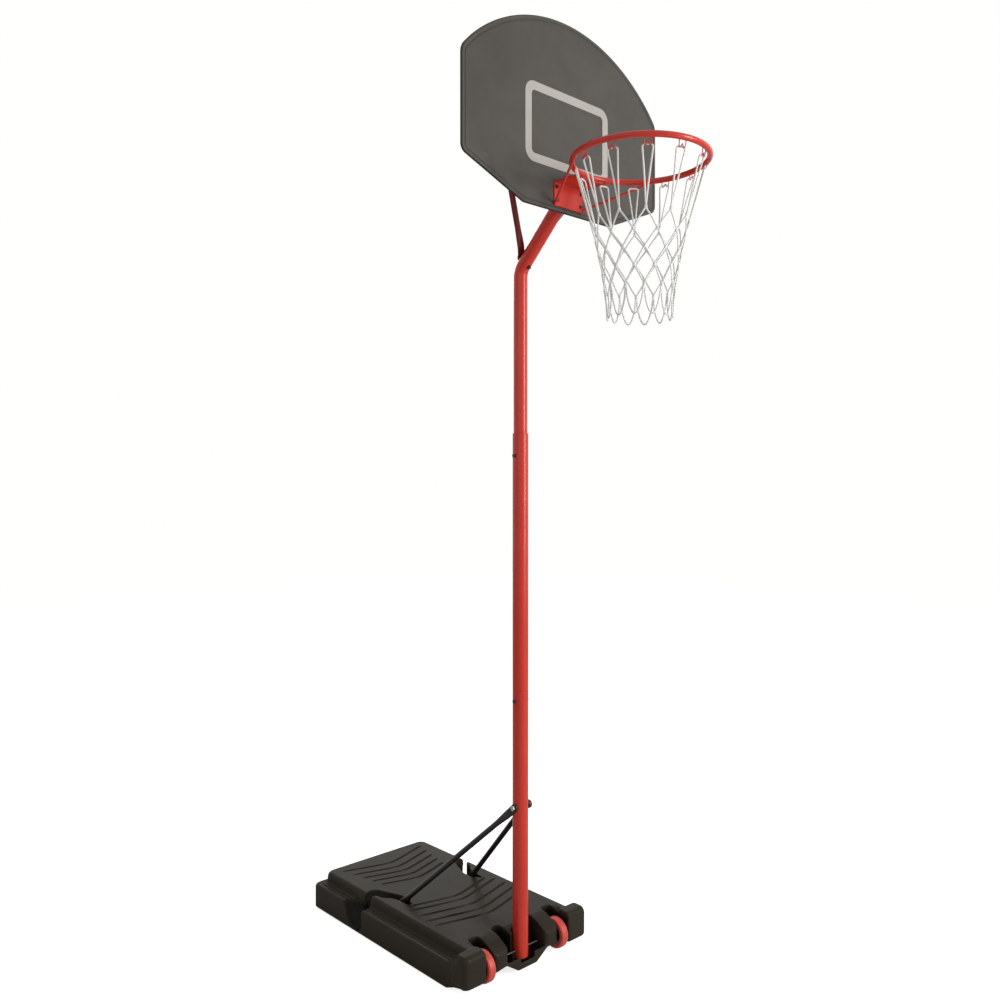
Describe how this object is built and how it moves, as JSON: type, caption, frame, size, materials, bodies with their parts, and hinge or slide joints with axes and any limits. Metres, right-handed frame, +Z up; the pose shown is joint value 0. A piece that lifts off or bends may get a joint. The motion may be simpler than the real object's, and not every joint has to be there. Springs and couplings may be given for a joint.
{
  "type": "basketball stand",
  "caption": "portable basketball stand with a water tank on wheels, a height-adjustable steel pole, a moulded backboard, a steel rim and a cord net",
  "frame": {"origin": "on the floor under the middle of the tank's footprint", "axes": "+Z up, the board and rim face -Y, the tank reaches back to +Y behind the pole, +X is to the right seen from the front"},
  "size_m": [0.71, 1.2555, 2.4528],
  "materials": {
    "paint_red": "gloss red powder coat",
    "paint_dark_red": "gloss dark red powder coat",
    "paint_black": "satin black powder coat",
    "tank_plastic": "satin black blow-moulded polyethylene",
    "board_plastic": "matt dark warm grey moulded plastic",
    "board_print": "light grey print",
    "wheel_red": "satin red plastic",
    "hub_plastic": "dark plastic",
    "zinc_steel": "zinc-plated steel",
    "cap_plastic": "black plastic",
    "bung_rubber": "black rubber",
    "net_cord": "off-white braided cord"
  },
  "bodies": {
    "stand": {"tank": "tank_plastic", "axle": "zinc_steel", "axle_cap": "cap_plastic", "pole_lower": "paint_red", "pole_middle": "paint_red", "pole_joint_bolt": "zinc_steel", "pole_joint_nut": "zinc_steel", "height_screw": "cap_plastic", "strut_left": "paint_black", "strut_right": "paint_black", "strut_bolt": "zinc_steel", "strut_cap_nut": "cap_plastic", "strut_foot_bolt_left": "paint_black", "strut_foot_bolt_right": "paint_black"},
    "wheel_left": {"wheel_hub_left": "hub_plastic", "wheel_tyre_left": "wheel_red"},
    "wheel_right": {"wheel_hub_right": "hub_plastic", "wheel_tyre_right": "wheel_red"},
    "bung": {"filler_bung": "bung_rubber"},
    "mast": {"pole_upper": "paint_red", "backboard": "board_plastic", "aiming_rectangle": "board_print", "rim": "paint_red", "net": "net_cord", "brace_left": "paint_dark_red", "brace_right": "paint_dark_red", "brace_bolt": "zinc_steel", "brace_nut": "zinc_steel", "brace_screw_left": "zinc_steel", "brace_screw_right": "zinc_steel", "rim_bolt_1": "zinc_steel", "rim_nut_1": "zinc_steel", "rim_bolt_2": "zinc_steel", "rim_nut_2": "zinc_steel", "rim_bolt_3": "zinc_steel", "rim_nut_3": "zinc_steel", "rim_bolt_4": "zinc_steel", "rim_nut_4": "zinc_steel"}
  },
  "joints": [
    {"name": "height_slide", "type": "slide", "parent": "stand", "child": "mast", "axis": [0, 0, 1], "range_m": [-0.4, 0]},
    {"name": "wheel_left_spin", "type": "hinge", "parent": "stand", "child": "wheel_left", "pos_m": [-0.1355, -0.3245, 0.0455], "axis": [1, 0, 0], "continuous": true},
    {"name": "wheel_right_spin", "type": "hinge", "parent": "stand", "child": "wheel_right", "pos_m": [0.1355, -0.3245, 0.0455], "axis": [1, 0, 0], "continuous": true},
    {"name": "bung_pull", "type": "slide", "parent": "stand", "child": "bung", "axis": [0, 1, 0], "range_m": [0, 0.045]}
  ]
}
